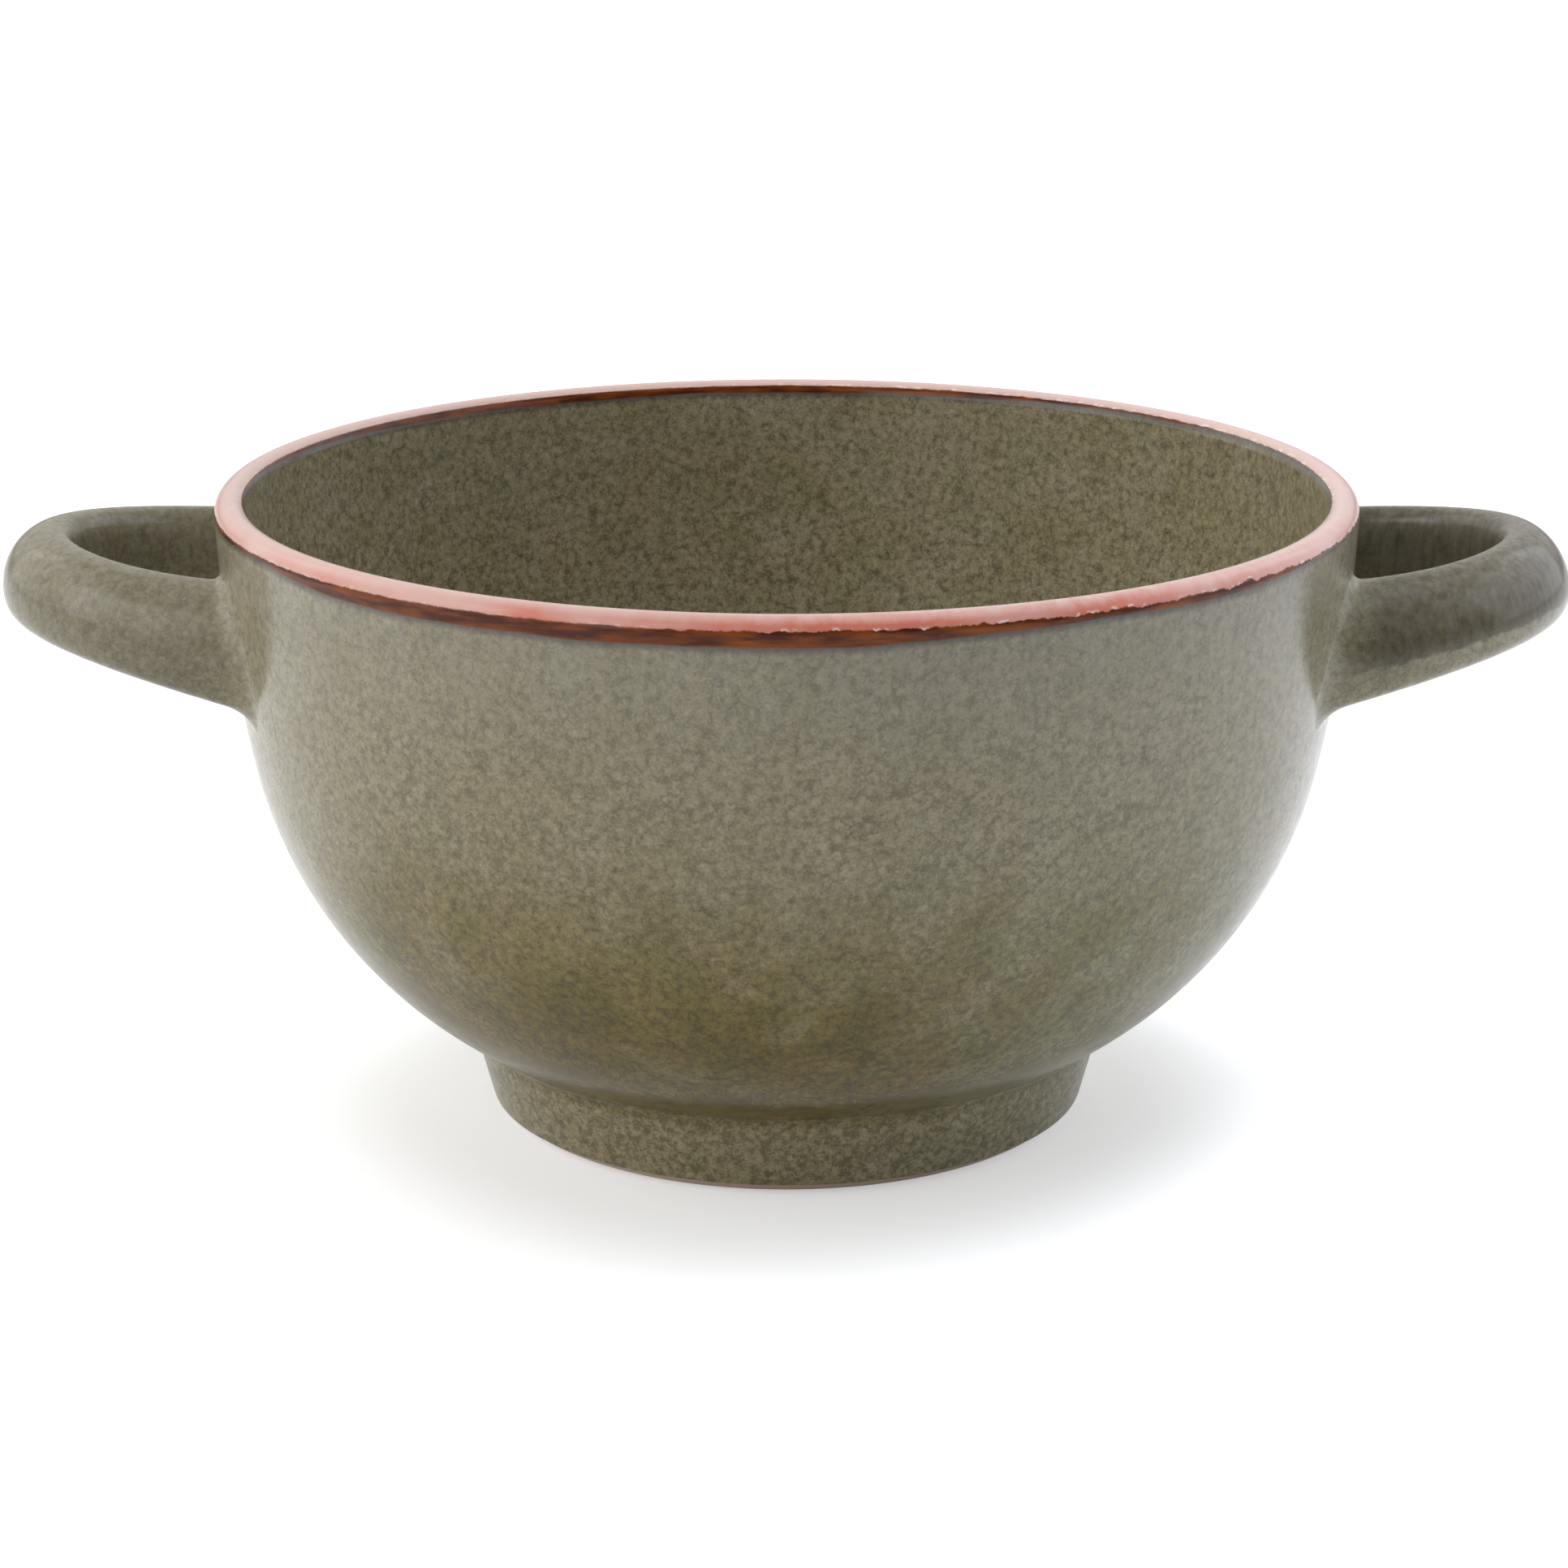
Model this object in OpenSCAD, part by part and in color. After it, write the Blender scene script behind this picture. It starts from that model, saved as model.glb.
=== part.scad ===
// Lug soup bowl: a thrown stoneware bowl on a turned foot ring, with two strap handles luted on with
// slip and fired glaze coats over the clay.
// Millimetres, +Z up. The origin is on the table, in the middle of the foot. The handles lie along X.

/* [Bowl] */
// Diameter over the outside of the rim
rim_d = 140; // [134:1:148]
// Height from the table to the top of the rim
bowl_h = 79.5; // [76:0.5:83]
// Thickness of the wall, with its glaze
wall = 3.9; // [3.4:0.1:4.4]
// Lean of the wall at the rim, in degrees
rim_lean = 2; // [0:0.5:4]
// Lean of the wall where it turns into the belly, in degrees
belly_lean = 12; // [10:0.5:14]
// Radius of the long arc of the upper wall
upper_r = 180; // [160:5:220]

/* [Foot] */
// Diameter of the foot at the table, before its edge is rounded
foot_d = 74.4; // [70:0.2:80]
// Width of the foot ring at the table
foot_w = 7.2; // [6.6:0.1:9]
// Height of the bowl's underside above the table, at its lowest
foot_clearance = 3.9; // [3:0.1:5]
// Draft of the foot's outer side, in degrees
foot_draft = 15; // [8:1:18]
// Draft of the foot's inner side, in degrees
foot_inner_draft = 10; // [4:1:14]
// Rounding of the foot's outer bottom edge
foot_round = 3; // [2:0.1:3.4]
// Rounding of the foot's inner bottom edge
foot_inner_round = 1.5; // [1:0.1:2]
// Radius of the slip cove between foot and bowl, outside
foot_cove = 2.5; // [1.5:0.1:3]
// Radius of the slip cove between foot and bowl, inside the ring
foot_inner_cove = 1.5; // [1:0.1:2]
// Height above the table at which the glaze stops
glaze_line = 1.6; // [1:0.1:2.2]

/* [Handles] */
// Width over both handles
handles_w = 193.6; // [186:0.2:200]
// Distance between the middles of a handle's two arms
arm_spacing = 43.8; // [38:0.2:48]
// Length of the loop, from its tip to its widest place
loop_l = 30.6; // [27:0.2:34]
// Thickness of the strap
strap_t = 7.3; // [6:0.1:9]
// Height of the strap at the tip
strap_h = 11.4; // [9:0.1:12]
// Share by which the strap has grown in height at the wall
strap_flare = 0.35; // [0:0.01:0.4]
// Height of the middle of the handle's tip above the table
handle_z = 68.7; // [66:0.1:69]
// Upward tilt of the handles, in degrees
handle_tilt = 9.6; // [7:0.2:12]
// Reach of the slip fillet where an arm meets the wall
handle_slip = 3.2; // [2:0.1:3.6]

/* [Glaze] */
// Thickness of a glaze coat
glaze_t = 0.5; // [0.4:0.05:0.6]
// Reach of the lip band down the outside, from the top of the rim
rim_band_out = 1.3; // [0.8:0.1:1.6]
// Reach of the lip band down the inside, from the top of the rim
rim_band_in = 0.6; // [0.4:0.1:1.5]
// Height of the iron band outside
iron_band_out = 1.9; // [1.6:0.1:2.2]
// Height of the iron band inside
iron_band_in = 1; // [0.8:0.1:2]

/* [Hidden] */
$fn = 240;

// Colours of the fired clay, the slip and the glazes
clay_colour = "#8a6a50";
slip_colour = "#9c7c60";
olive_glaze = "#807b6b";
liner_glaze = "#6b6450";
lip_glaze = "#cf9488";
iron_glaze = "#5c2c12";

// Steps of the arcs in the turned outlines, in degrees: along the wall, and round edges and coves
wall_step = 2;
edge_step = 15;

// The wall's outside is two arcs that run into each other: a long one below the lip and the belly's.
// A place on the wall is given by its lean, the angle of the wall's outward normal below level.
lip_c = [rim_d / 2, bowl_h] - [wall, wall] / 2;
upper_c = lip_c - (upper_r - wall / 2) * out(rim_lean);
belly_top = upper_c + upper_r * out(belly_lean);
belly_r = (belly_top.y - foot_clearance) / (1 - sin(belly_lean));
belly_c = belly_top - belly_r * out(belly_lean);
floor_lean = 90;

// The two faces of the wall, and how far below the top of the rim the main glaze starts on each
outside = 1;
inside = -1;
outer_start = rim_band_out + iron_band_out;
inner_start = rim_band_in + iron_band_in;

// The two sides of the foot, in clay, each as [point at table height, direction upwards, direction
// away from the clay, rounding at the table, cove at the bowl]
outer_side = [
    [foot_d / 2 - glaze_t / cos(foot_draft), 0],
    [sin(foot_draft), cos(foot_draft)],
    [cos(foot_draft), -sin(foot_draft)],
    foot_round, foot_cove
];
inner_side = [
    [foot_d / 2 - foot_w + glaze_t / cos(foot_inner_draft), 0],
    [-sin(foot_inner_draft), cos(foot_inner_draft)],
    [-cos(foot_inner_draft), -sin(foot_inner_draft)],
    foot_inner_round, foot_inner_cove
];
belly_clay_r = belly_r - glaze_t;

// The handle's loop is half an ellipse in plan. The strap's section is a rounded oblong, and it grows
// in height from the tip to the wall.
arm_half = arm_spacing / 2;
tip_x = (handles_w - strap_t) / 2;
section_power = 2.4;
section_sides = 24;
arm_rings = 14;
fillet_rings = 4;
cap_rings = 3;
rounds = [for (k = [0 : section_sides - 1]) 360 * k / section_sides];

// Angles round the loop between which an arm goes into the wall, and halvings to find the place
clear_angle = 30;
buried_angle = 110;
halvings = 24;

function unit(v) = v / norm(v);

function backwards(list) = [for (i = [len(list) - 1 : -1 : 0]) list[i]];

function after_first(list) = [for (i = [1 : 1 : len(list) - 1]) list[i]];

function centre(points) = [for (p = points) 1] * points / len(points);

// Outward normal of the wall at a lean
function out(lean) = [cos(lean), -sin(lean)];

// How far below the top of the rim the round of the lip ends on a face of the wall
function lip_drop(face) = wall / 2 * (1 + face * sin(rim_lean));

// Direction from the lip's middle to its surface at a drop below the top, as far as the lip goes
function lip_out(face, drop) =
    let (down = min(2 * drop / wall - 1, face * sin(rim_lean)))
    [face * sqrt(1 - down * down), -down];

// Lean of the upper wall at a drop below the top of the rim
function lean_at(face, drop) = rim_lean + max(0, drop - lip_drop(face)) / upper_r * 180 / PI;

// Lean of the belly at a point on it
function lean_of(p) = atan2(belly_c.y - p.y, p.x - belly_c.x);

// Line of the wall at a depth below its glazed outside, from one lean to another
function wall_line(depth, from, to) =
    let (first = ceil(from / wall_step) * wall_step)
    [
        wall_point(depth, from),
        for (lean = [first : wall_step : to]) if (lean > from && lean < to) wall_point(depth, lean),
        wall_point(depth, to)
    ];

function wall_point(depth, lean) =
    lean < belly_lean
    ? upper_c + (upper_r - depth) * out(lean)
    : belly_c + (belly_r - depth) * out(lean);

// Place on the axis at the floor, at a depth below the glazed underside
function floor_point(depth) = [0, foot_clearance + depth];

// Arc round a centre, the short way from one direction to another
function bend(c, r, from, to) =
    let (
        start = atan2(from.y, from.x),
        turn = atan2(from.x * to.y - from.y * to.x, from * to),
        steps = ceil(abs(turn) / edge_step)
    )
    [for (i = [0 : steps]) c + r * [cos(start + turn * i / steps), sin(start + turn * i / steps)]];

// Line on a face of the wall, a depth below its glaze, between two drops below the top of the rim, or
// on to an end lean
function face_line(face, depth, from, to, end) =
    let (
        lip = from < lip_drop(face)
            ? bend(lip_c, wall / 2 - depth, lip_out(face, from), lip_out(face, to)) : [],
        end_lean = is_undef(end) ? lean_at(face, to) : end,
        side = to > lip_drop(face)
            ? wall_line(face == outside ? depth : wall - depth, lean_at(face, from), end_lean) : []
    )
    concat(lip, len(lip) > 0 ? after_first(side) : side);

// First place where a line from below meets a circle round the belly's centre
function meet(p, along, r) =
    let (o = p - belly_c, b = o * along)
    p + (-b - sqrt(b * b - o * o + r * r)) * along;

// Corner between a side of the foot and the bowl, in clay
function corner(side) = meet(side[0], side[1], belly_clay_r);

// Centres of a side's rounding at the table and of its cove at the bowl
function edge_c(side) = [side[0].x - side[3] * (1 + side[2].y) / side[2].x, side[3]];
function cove_c(side) = meet(side[0] + side[4] * side[2], side[1], belly_clay_r + side[4]);
function cove_lean(side) = lean_of(cove_c(side));

// Line from the bowl round a side's cove and down the foot to the glaze line, a coat's thickness off it.
// The glaze line is on the rounding at the table, or above that on the straight side.
function foot_line(side, off) =
    let (
        cove = cove_c(side),
        edge = edge_c(side),
        r = side[3] + off,
        straight_end = edge + r * side[2],
        above = glaze_line - straight_end.y,
        down = (glaze_line - edge.y) / r
    )
    concat(
        bend(cove, side[4] - off, unit(belly_c - cove), -side[2]),
        above > 0
        ? [straight_end + above / side[1].y * side[1]]
        : bend(edge, r, side[2], [sign(side[2].x) * sqrt(1 - down * down), down])
    );

// Radius of the wall at a height, a depth below its glazed outside
function wall_r(z, depth) =
    z > belly_top.y
    ? upper_c.x + sqrt(pow(upper_r - depth, 2) - pow(z - upper_c.y, 2))
    : belly_c.x + sqrt(pow(belly_r - depth, 2) - pow(z - belly_c.y, 2));

// Moves a point along X on to the wall
function on_wall(p, depth) = [sqrt(pow(wall_r(p.z, depth), 2) - p.y * p.y), p.y, p.z];

// Sine or cosine of an angle round the strap's section, squared off towards an oblong
function oblong(c) = sign(c) * pow(abs(c), 2 / section_power);

// Point on the strap: angle round the loop from its tip, angle round the section, distance off the clay
function strap(along, round, off) =
    let (
        back = loop_l * (1 - cos(along)),
        normal = unit([arm_half * cos(along), loop_l * sin(along)]),
        half_h = strap_h / 2 * (1 + strap_flare * pow(back / loop_l, 2)),
        rise = (half_h - glaze_t + off) * oblong(sin(round)),
        side = (strap_t / 2 - glaze_t + off) * oblong(cos(round)),
        x = normal.x * side - back
    )
    [
        tip_x + x * cos(handle_tilt) - rise * sin(handle_tilt),
        arm_half * sin(along) + normal.y * side,
        handle_z + x * sin(handle_tilt) + rise * cos(handle_tilt)
    ];

// Angle round the loop at which a line along the strap goes into the clay wall
function root_angle(round, low = clear_angle, high = buried_angle, left = halvings) =
    let (mid = (low + high) / 2, p = strap(mid, round, 0))
    left == 0 ? mid
    : norm([p.x, p.y]) > wall_r(p.z, glaze_t) ? root_angle(round, mid, high, left - 1)
    : root_angle(round, low, mid, left - 1);

// The strap's lines end at the wall, and the slip fillets start one reach before that
root_angles = [for (round = rounds) root_angle(round)];
fillet_angles = [for (angle = root_angles) angle - handle_slip / loop_l * 180 / PI];

// Ring of points round the strap, on the +Y arm for a side of 1 and on the -Y arm for -1
function strap_ring(angles, side, off) =
    [for (k = [0 : section_sides - 1]) strap(side * angles[k], rounds[k], off)];

// Rings from one arm's fillet round the tip to the other arm's
function loop_rings(off) =
    [for (i = [-arm_rings : arm_rings]) strap_ring(fillet_angles * abs(i) / arm_rings, sign(i), off)];

// Where a fillet runs out on the wall, a reach away from the strap
function fillet_end(k, side, depth) =
    let (
        root = strap(side * root_angles[k], rounds[k], 0),
        core = strap(side * root_angles[k], rounds[k], glaze_t - strap_t / 2)
    )
    on_wall(root + handle_slip * unit(root - core), depth);

// Ring of a fillet: its curve leaves the strap along it and reaches the wall along the wall
function fillet_ring(share, side, off, depth) =
    [for (k = [0 : section_sides - 1])
        let (
            start = strap(side * fillet_angles[k], rounds[k], off),
            turn = on_wall(strap(side * root_angles[k], rounds[k], off), depth),
            end = fillet_end(k, side, depth)
        )
        pow(1 - share, 2) * start + 2 * share * (1 - share) * turn + share * share * end];

function fillet(side, off, depth) =
    [for (i = [1 : fillet_rings]) fillet_ring(i / fillet_rings, side, off, depth)];

// Rings of a handle's whole surface, from where one fillet runs out to where the other does
function handle_surface(off, depth) =
    concat(backwards(fillet(-1, off, depth)), loop_rings(off), fillet(1, off, depth));

// Rings on the wall from an arm's outline towards its middle, which close its end
function cap(side) =
    let (outline = strap_ring(root_angles, side, 0), middle = centre(outline))
    [for (i = [0 : cap_rings - 1])
        [for (p = outline) on_wall(p + (middle - p) * i / cap_rings, glaze_t)]];

// Solid skin over a row of rings, closed by its two ends, or by joining the last ring to the first
module skin(rings, endless = false) {
    n = len(rings[0]);
    last = len(rings) - 1;
    sides = [
        for (i = [0 : endless ? last : last - 1], k = [0 : n - 1])
            let (a = i * n, b = (i + 1) % (last + 1) * n, next = (k + 1) % n)
            each [[a + k, a + next, b + k], [b + k, a + next, b + next]]
    ];
    ends = [[for (k = [n - 1 : -1 : 0]) k], [for (k = [0 : n - 1]) last * n + k]];
    points = [for (ring = rings) each ring];
    polyhedron(points, endless ? sides : concat(sides, ends));
}

// Band of glaze on a face of the wall, between two drops below the top of the rim
module band(face, from, to) {
    rotate_extrude() polygon(concat(
        face_line(face, 0, from, to),
        backwards(face_line(face, glaze_t, from, to))
    ));
}

// Slip in the corner between the bowl and a side of the foot
module cove_ring(side) {
    cove = cove_c(side);
    leans = [cove_lean(side), lean_of(corner(side))];
    to_corner = wall_line(glaze_t, min(leans), max(leans));
    rotate_extrude() polygon(concat(
        bend(cove, side[4], -side[2], unit(belly_c - cove)),
        after_first(leans[0] < leans[1] ? to_corner : backwards(to_corner))
    ));
}

// One strap of clay, bent into a loop, with its ends shaped to the wall
module handle() {
    skin(concat(backwards(cap(-1)), loop_rings(0), cap(1)));
}

// Slip worked into the corner round both ends of a handle
module root_slip() {
    for (side = [-1, 1]) {
        rings = concat(
            [strap_ring(fillet_angles, side, 0)],
            fillet(side, 0, glaze_t),
            [strap_ring(root_angles, side, 0)]
        );
        skin(side > 0 ? rings : backwards(rings), true);
    }
}

// Glaze over a handle and its slip
module handle_glaze() {
    skin(concat(handle_surface(glaze_t, 0), backwards(handle_surface(0, glaze_t))), true);
}

// Cutter for the places where the outer glaze gives way to a handle's
module root_cutter() {
    for (side = [-1, 1]) {
        outline = [for (k = [0 : section_sides - 1]) fillet_end(k, side, 0)];
        rotate([90, 0, 90]) linear_extrude(rim_d) polygon([for (p = outline) [p.y, p.z]]);
    }
}

module on_left() {
    mirror([1, 0, 0]) children();
}

// The thrown bowl: floor, belly, wall and lip, in clay
module bowl_body() {
    color(clay_colour) rotate_extrude() polygon(concat(
        face_line(outside, glaze_t, 0, bowl_h, floor_lean),
        [floor_point(glaze_t), floor_point(wall - glaze_t)],
        backwards(after_first(face_line(inside, glaze_t, 0, bowl_h, floor_lean)))
    ));
}

// The ring that the bowl stands on
module foot_ring() {
    inner_edge = edge_c(inner_side);
    outer_edge = edge_c(outer_side);
    color(clay_colour) rotate_extrude() polygon(concat(
        bend(outer_edge, foot_round, [0, -1], outer_side[2]),
        wall_line(glaze_t, lean_of(corner(outer_side)), lean_of(corner(inner_side))),
        bend(inner_edge, foot_inner_round, inner_side[2], [0, -1])
    ));
}

// Slip that fills both corners between the foot ring and the bowl
module foot_slip() {
    color(slip_colour) {
        cove_ring(outer_side);
        cove_ring(inner_side);
    }
}

module left_handle() {
    color(clay_colour) on_left() handle();
}

module right_handle() {
    color(clay_colour) handle();
}

module left_handle_slip() {
    color(slip_colour) on_left() root_slip();
}

module right_handle_slip() {
    color(slip_colour) root_slip();
}

// Mottled glaze over the outside, from the iron band down to the glaze line on the foot
module outer_glaze() {
    end = cove_lean(outer_side);
    color(olive_glaze) difference() {
        rotate_extrude() polygon(concat(
            face_line(outside, 0, outer_start, bowl_h, end),
            after_first(foot_line(outer_side, glaze_t)),
            backwards(foot_line(outer_side, 0)),
            after_first(backwards(face_line(outside, glaze_t, outer_start, bowl_h, end)))
        ));
        root_cutter();
        on_left() root_cutter();
    }
}

// Glaze that lines the inside, up to the inner iron band
module inner_glaze() {
    color(liner_glaze) rotate_extrude() polygon(concat(
        face_line(inside, 0, inner_start, bowl_h, floor_lean),
        [floor_point(wall), floor_point(wall - glaze_t)],
        backwards(face_line(inside, glaze_t, inner_start, bowl_h, floor_lean))
    ));
}

// Glaze under the bowl, inside the foot ring
module base_glaze() {
    start = cove_lean(inner_side);
    color(olive_glaze) rotate_extrude() polygon(concat(
        [floor_point(glaze_t), floor_point(0)],
        backwards(wall_line(0, start, floor_lean)),
        after_first(foot_line(inner_side, glaze_t)),
        backwards(foot_line(inner_side, 0)),
        after_first(wall_line(glaze_t, start, floor_lean))
    ));
}

module left_handle_glaze() {
    color(olive_glaze) on_left() handle_glaze();
}

module right_handle_glaze() {
    color(olive_glaze) handle_glaze();
}

// Light glaze over the lip
module rim_band() {
    color(lip_glaze) rotate_extrude() polygon(concat(
        backwards(face_line(outside, 0, 0, rim_band_out)),
        after_first(face_line(inside, 0, 0, rim_band_in)),
        backwards(face_line(inside, glaze_t, 0, rim_band_in)),
        after_first(face_line(outside, glaze_t, 0, rim_band_out))
    ));
}

// Dark iron glaze below the lip, outside
module outer_iron_band() {
    color(iron_glaze) band(outside, rim_band_out, outer_start);
}

// Dark iron glaze below the lip, inside
module inner_iron_band() {
    color(iron_glaze) band(inside, rim_band_in, inner_start);
}

bowl_body();
foot_ring();
foot_slip();
left_handle();
right_handle();
left_handle_slip();
right_handle_slip();
outer_glaze();
inner_glaze();
base_glaze();
left_handle_glaze();
right_handle_glaze();
rim_band();
outer_iron_band();
inner_iron_band();
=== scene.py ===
import math
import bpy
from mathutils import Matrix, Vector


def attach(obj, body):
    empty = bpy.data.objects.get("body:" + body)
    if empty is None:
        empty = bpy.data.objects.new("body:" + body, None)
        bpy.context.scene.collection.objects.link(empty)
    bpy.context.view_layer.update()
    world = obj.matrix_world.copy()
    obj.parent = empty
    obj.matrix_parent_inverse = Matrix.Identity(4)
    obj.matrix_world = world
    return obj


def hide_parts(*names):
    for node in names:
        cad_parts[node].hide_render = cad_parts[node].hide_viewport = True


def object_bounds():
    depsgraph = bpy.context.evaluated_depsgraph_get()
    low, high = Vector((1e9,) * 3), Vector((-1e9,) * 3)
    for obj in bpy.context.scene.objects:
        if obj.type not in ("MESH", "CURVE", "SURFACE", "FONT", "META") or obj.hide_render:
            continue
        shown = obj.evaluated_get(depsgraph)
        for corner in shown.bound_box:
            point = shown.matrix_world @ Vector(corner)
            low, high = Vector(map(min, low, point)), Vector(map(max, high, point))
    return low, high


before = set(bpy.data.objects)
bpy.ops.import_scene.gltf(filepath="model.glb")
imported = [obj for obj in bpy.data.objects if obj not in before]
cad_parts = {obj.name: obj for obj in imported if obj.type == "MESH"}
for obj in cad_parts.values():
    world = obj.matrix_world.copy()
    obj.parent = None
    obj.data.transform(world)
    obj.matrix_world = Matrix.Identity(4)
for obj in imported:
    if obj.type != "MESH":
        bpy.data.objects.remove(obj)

from types import SimpleNamespace

import bmesh
import bpy
from bpy.props import FloatProperty, FloatVectorProperty, PointerProperty
from mathutils import Vector

bl_info = {
    "name": "Lug soup bowl",
    "version": (1, 0, 0),
    "blender": (4, 5, 0),
    "location": "View3D > Sidebar > Lug bowl",
    "description": "Glaze coats, handles, bare foot and stage of a stoneware soup bowl",
    "category": "Add Mesh",
}

CAD_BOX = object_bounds()

# Steps of the outlines and of their turning, the distance at which points merge, and the angle of a sharp edge
WALL_STEP = math.radians(1.5)
EDGE_STEP = math.radians(6)
TURN_STEPS = 384
MERGE_DISTANCE = 1e-7
SHARP_ANGLE = math.radians(40)

# The handle's grid: places round the strap and along the loop, the share before the fillets, and places along one
STRAP_SIDES = 64
LOOP_RINGS = 132
LOOP_SHARE = 0.74
FILLET_RINGS = 16

# The strap's section as a potter pulls it, for the front and the back arm: where it is highest, from -1 at the
# gap to 1 outside, and how square its corner at the gap is, where 2 is an ellipse
CREST = (-0.75, 0.0)
GAP_CORNER = (3.5, 2.0)

# How square its lower corners are, and how much thicker it is inside the tip
LOWER_CORNER = 2.4
TIP_SWELL = 0.3

# Each handle by hand: the squareness of its outer upper corner, and how high it is widest
LEFT_HAND = (1.9, -0.1)
RIGHT_HAND = (1.85, -0.25)

# Angles round the loop between which a line along the strap goes into the wall, and the halvings that find it
CLEAR_ANGLE = math.radians(30)
BURIED_ANGLE = math.radians(110)
HALVINGS = 24

# How far a handle's coat sinks into the wall's, so that no gap shows where it runs out
RUN_OUT = 0.00006

# Each glaze: its clouds at the rim and at the foot, its runs below the bands, and its index of refraction
# A glaze's clouds at the foot are partly painted shade low on the wall, and set how much painted light its foot
# gets
OLIVE_TRAITS = (0.2, 1.0, 0.6, 1.42)
LINER_TRAITS = (0.3, 0.3, 0.15, 1.42)
LIP_TRAITS = (0.0, 0.0, 0.6, 1.42)
IRON_TRAITS = (0.0, 0.0, 0.6, 1.33)

# Flecks: how far they are pushed about, shares of cells and dust in their tone, tones of the dark ones, the body
# and the pale ones, their contrast and what the foot adds to it, and the strength of the veins
FLECK_WARP = 0.0008
CELL_SHARE = -0.4
DUST_SHARE = 0.7
DARK_TONE, BODY_TONE, PALE_TONE = 0.4, 0.68, 1.0
FLECK_CONTRAST = 0.9
FOOT_CONTRAST = 0.5
VEIN_STRENGTH = 0.45

# Heights between which the foot ends, the contrast falls and the clouds, partly painted shade, thin out
FOOT_TOP = (0.009, 0.012)
CONTRAST_RISE = (0.012, 0.045)
CLOUD_AND_SHADE_RISE = (0.024, 0.056)

# Where the kiln's flame came in, low at the front and left, how far it reached and how much it warmed the glaze
FLAME = (-0.02, -0.05, 0.018)
FLAME_REACH = (0.012, 0.06)
FLAME_HEAT = 0.28

# The moss lies on a pattern of its own; the foot has a quarter of the clouds, and painted light makes it a
# quarter lighter
MOSS_DRIFT = (0.31, 0.17, 0.23)
FOOT_CLOUDS = 0.25
FOOT_PAINTED_LIGHT = (1.25, 1.25, 1.25, 1)

# Painted shade and reflection on the handles: height at which the dark painted reflection stops on the right
# handle, taken down the handle's slope to the axis, how ragged that line is, how dark the left handle's painted
# shade is beside the right, and where past the rim the shade sets in
ARM_REFLECTION_LINE = 0.0512
ARM_TATTER = 0.002
LEFT_PAINTED_SHADE = 0.4
ARM_SHADE_RISE = (-0.001, 0.005)

# What is added outside to the heights of the pink and the iron, and the iron's share of that from left to right
LIP_SPREAD = 0.00015
IRON_SPREAD = -0.0001
IRON_FADE = ((0.06, 0.3), (0.18, 1), (0.56, 1), (0.74, 0.42), (0.88, 0.42), (0.94, 0))

# The bands' edges: teeth of the lip inside and outside, waves of the iron, how softly iron, lip and halo end, and
# drops below the rim between which the runs thin out
TOOTH_DEPTH = (0.0001, 0.0004)
WAVE_DEPTH = 0.0003
IRON_BLUR = (-0.00022, 0.00012)
LIP_BLUR = 0.00006
HALO_REACH = 0.001
RUN_REACH = (0.002, 0.026)

# Distances below the lip's edge over which coral and beads set in, and to the side over which coral fades; the
# pale pink above and beside the coral is partly painted sheen, and the beads are partly painted highlight
CORAL_RISE = (-0.0016, -0.0006)
BEAD_GLINT_RISE = (-0.00035, -0.00005)
CORAL_SHEEN_SIDES = (0.036, 0.064)

# The fired surface: depth of the orange peel, height of the lip's edge in peels, and roughness
PEEL_DEPTH = 0.00008
LIP_RISE = 1.2
GLOSS = (0.16, 0.24)

# The floor: half its side, its glow under the bowl and far off, and the distances between which that rises
FLOOR_HALF = 40
FLOOR_GLOW = (0.43, 0.92)
GLOW_RISE = (0.15, 1.0)

# Strength of the room as light, and of room and floor where they are mirrored
ROOM_LIGHT = 0.15
MIRRORED = 0.2

# Softboxes round the bowl, and narrow ones that light the table beside it: name, place, aim, width, height,
# radiance (1 looks white), spread in degrees, whether it shows in the glaze, and tint
MIDDLE = (0, 0, 0.04)
LAMPS = (
    ("softbox_left", (-0.9, 0.15, 0.5), MIDDLE, 1.3, 1.0, 1.05, 180, True, "#ffffff"),
    ("softbox_right", (0.9, 0.2, 0.5), MIDDLE, 1.3, 1.0, 1.4, 180, True, "#eef3ff"),
    ("softbox_front", (-0.9, -0.7, 0.6), MIDDLE, 1.3, 1.2, 1.75, 180, True, "#ffffff"),
    ("softbox_back", (0, 1.2, 0.7), MIDDLE, 2.4, 1.2, 0.5, 180, True, "#ffffff"),
    ("softbox_top", (0, 0.4, 1.25), MIDDLE, 2.0, 1.4, 1.1, 180, False, "#ffffff"),
    ("table_left", (-0.28, -0.06, 0.5), (-0.28, -0.06, 0), 0.4, 0.5, 0.85, 60, False, "#ffffff"),
    ("table_right", (0.28, -0.06, 0.5), (0.28, -0.06, 0), 0.4, 0.5, 1.6, 60, False, "#eef3ff"),
)

# The photograph's camera: side of the image, focal length and sideways shift in pixels, sensor in millimetres,
# where it stands, and how far it looks down, in radians
IMAGE_SIDE = 1932
FOCAL_LENGTH = 4914
IMAGE_SHIFT = -3.5
SENSOR_WIDTH = 36
CAMERA_PLACE = (0, -0.482, 0.1822)
CAMERA_PITCH = 0.2857


def linear(code):
    """Linear red, green, blue and alpha of an sRGB hex colour."""
    shares = [int(code[i:i + 2], 16) / 255 for i in (1, 3, 5)]
    return [s / 12.92 if s <= 0.04045 else ((s + 0.055) / 1.055) ** 2.4 for s in shares] + [1.0]


def per_mm(size):
    """Texture scale at which a pattern's features have a size in millimetres, on coordinates in metres."""
    return 1000 / size


def length(name, description, default):
    return FloatProperty(name=name, description=description, default=default, unit="LENGTH", precision=5)


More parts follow.
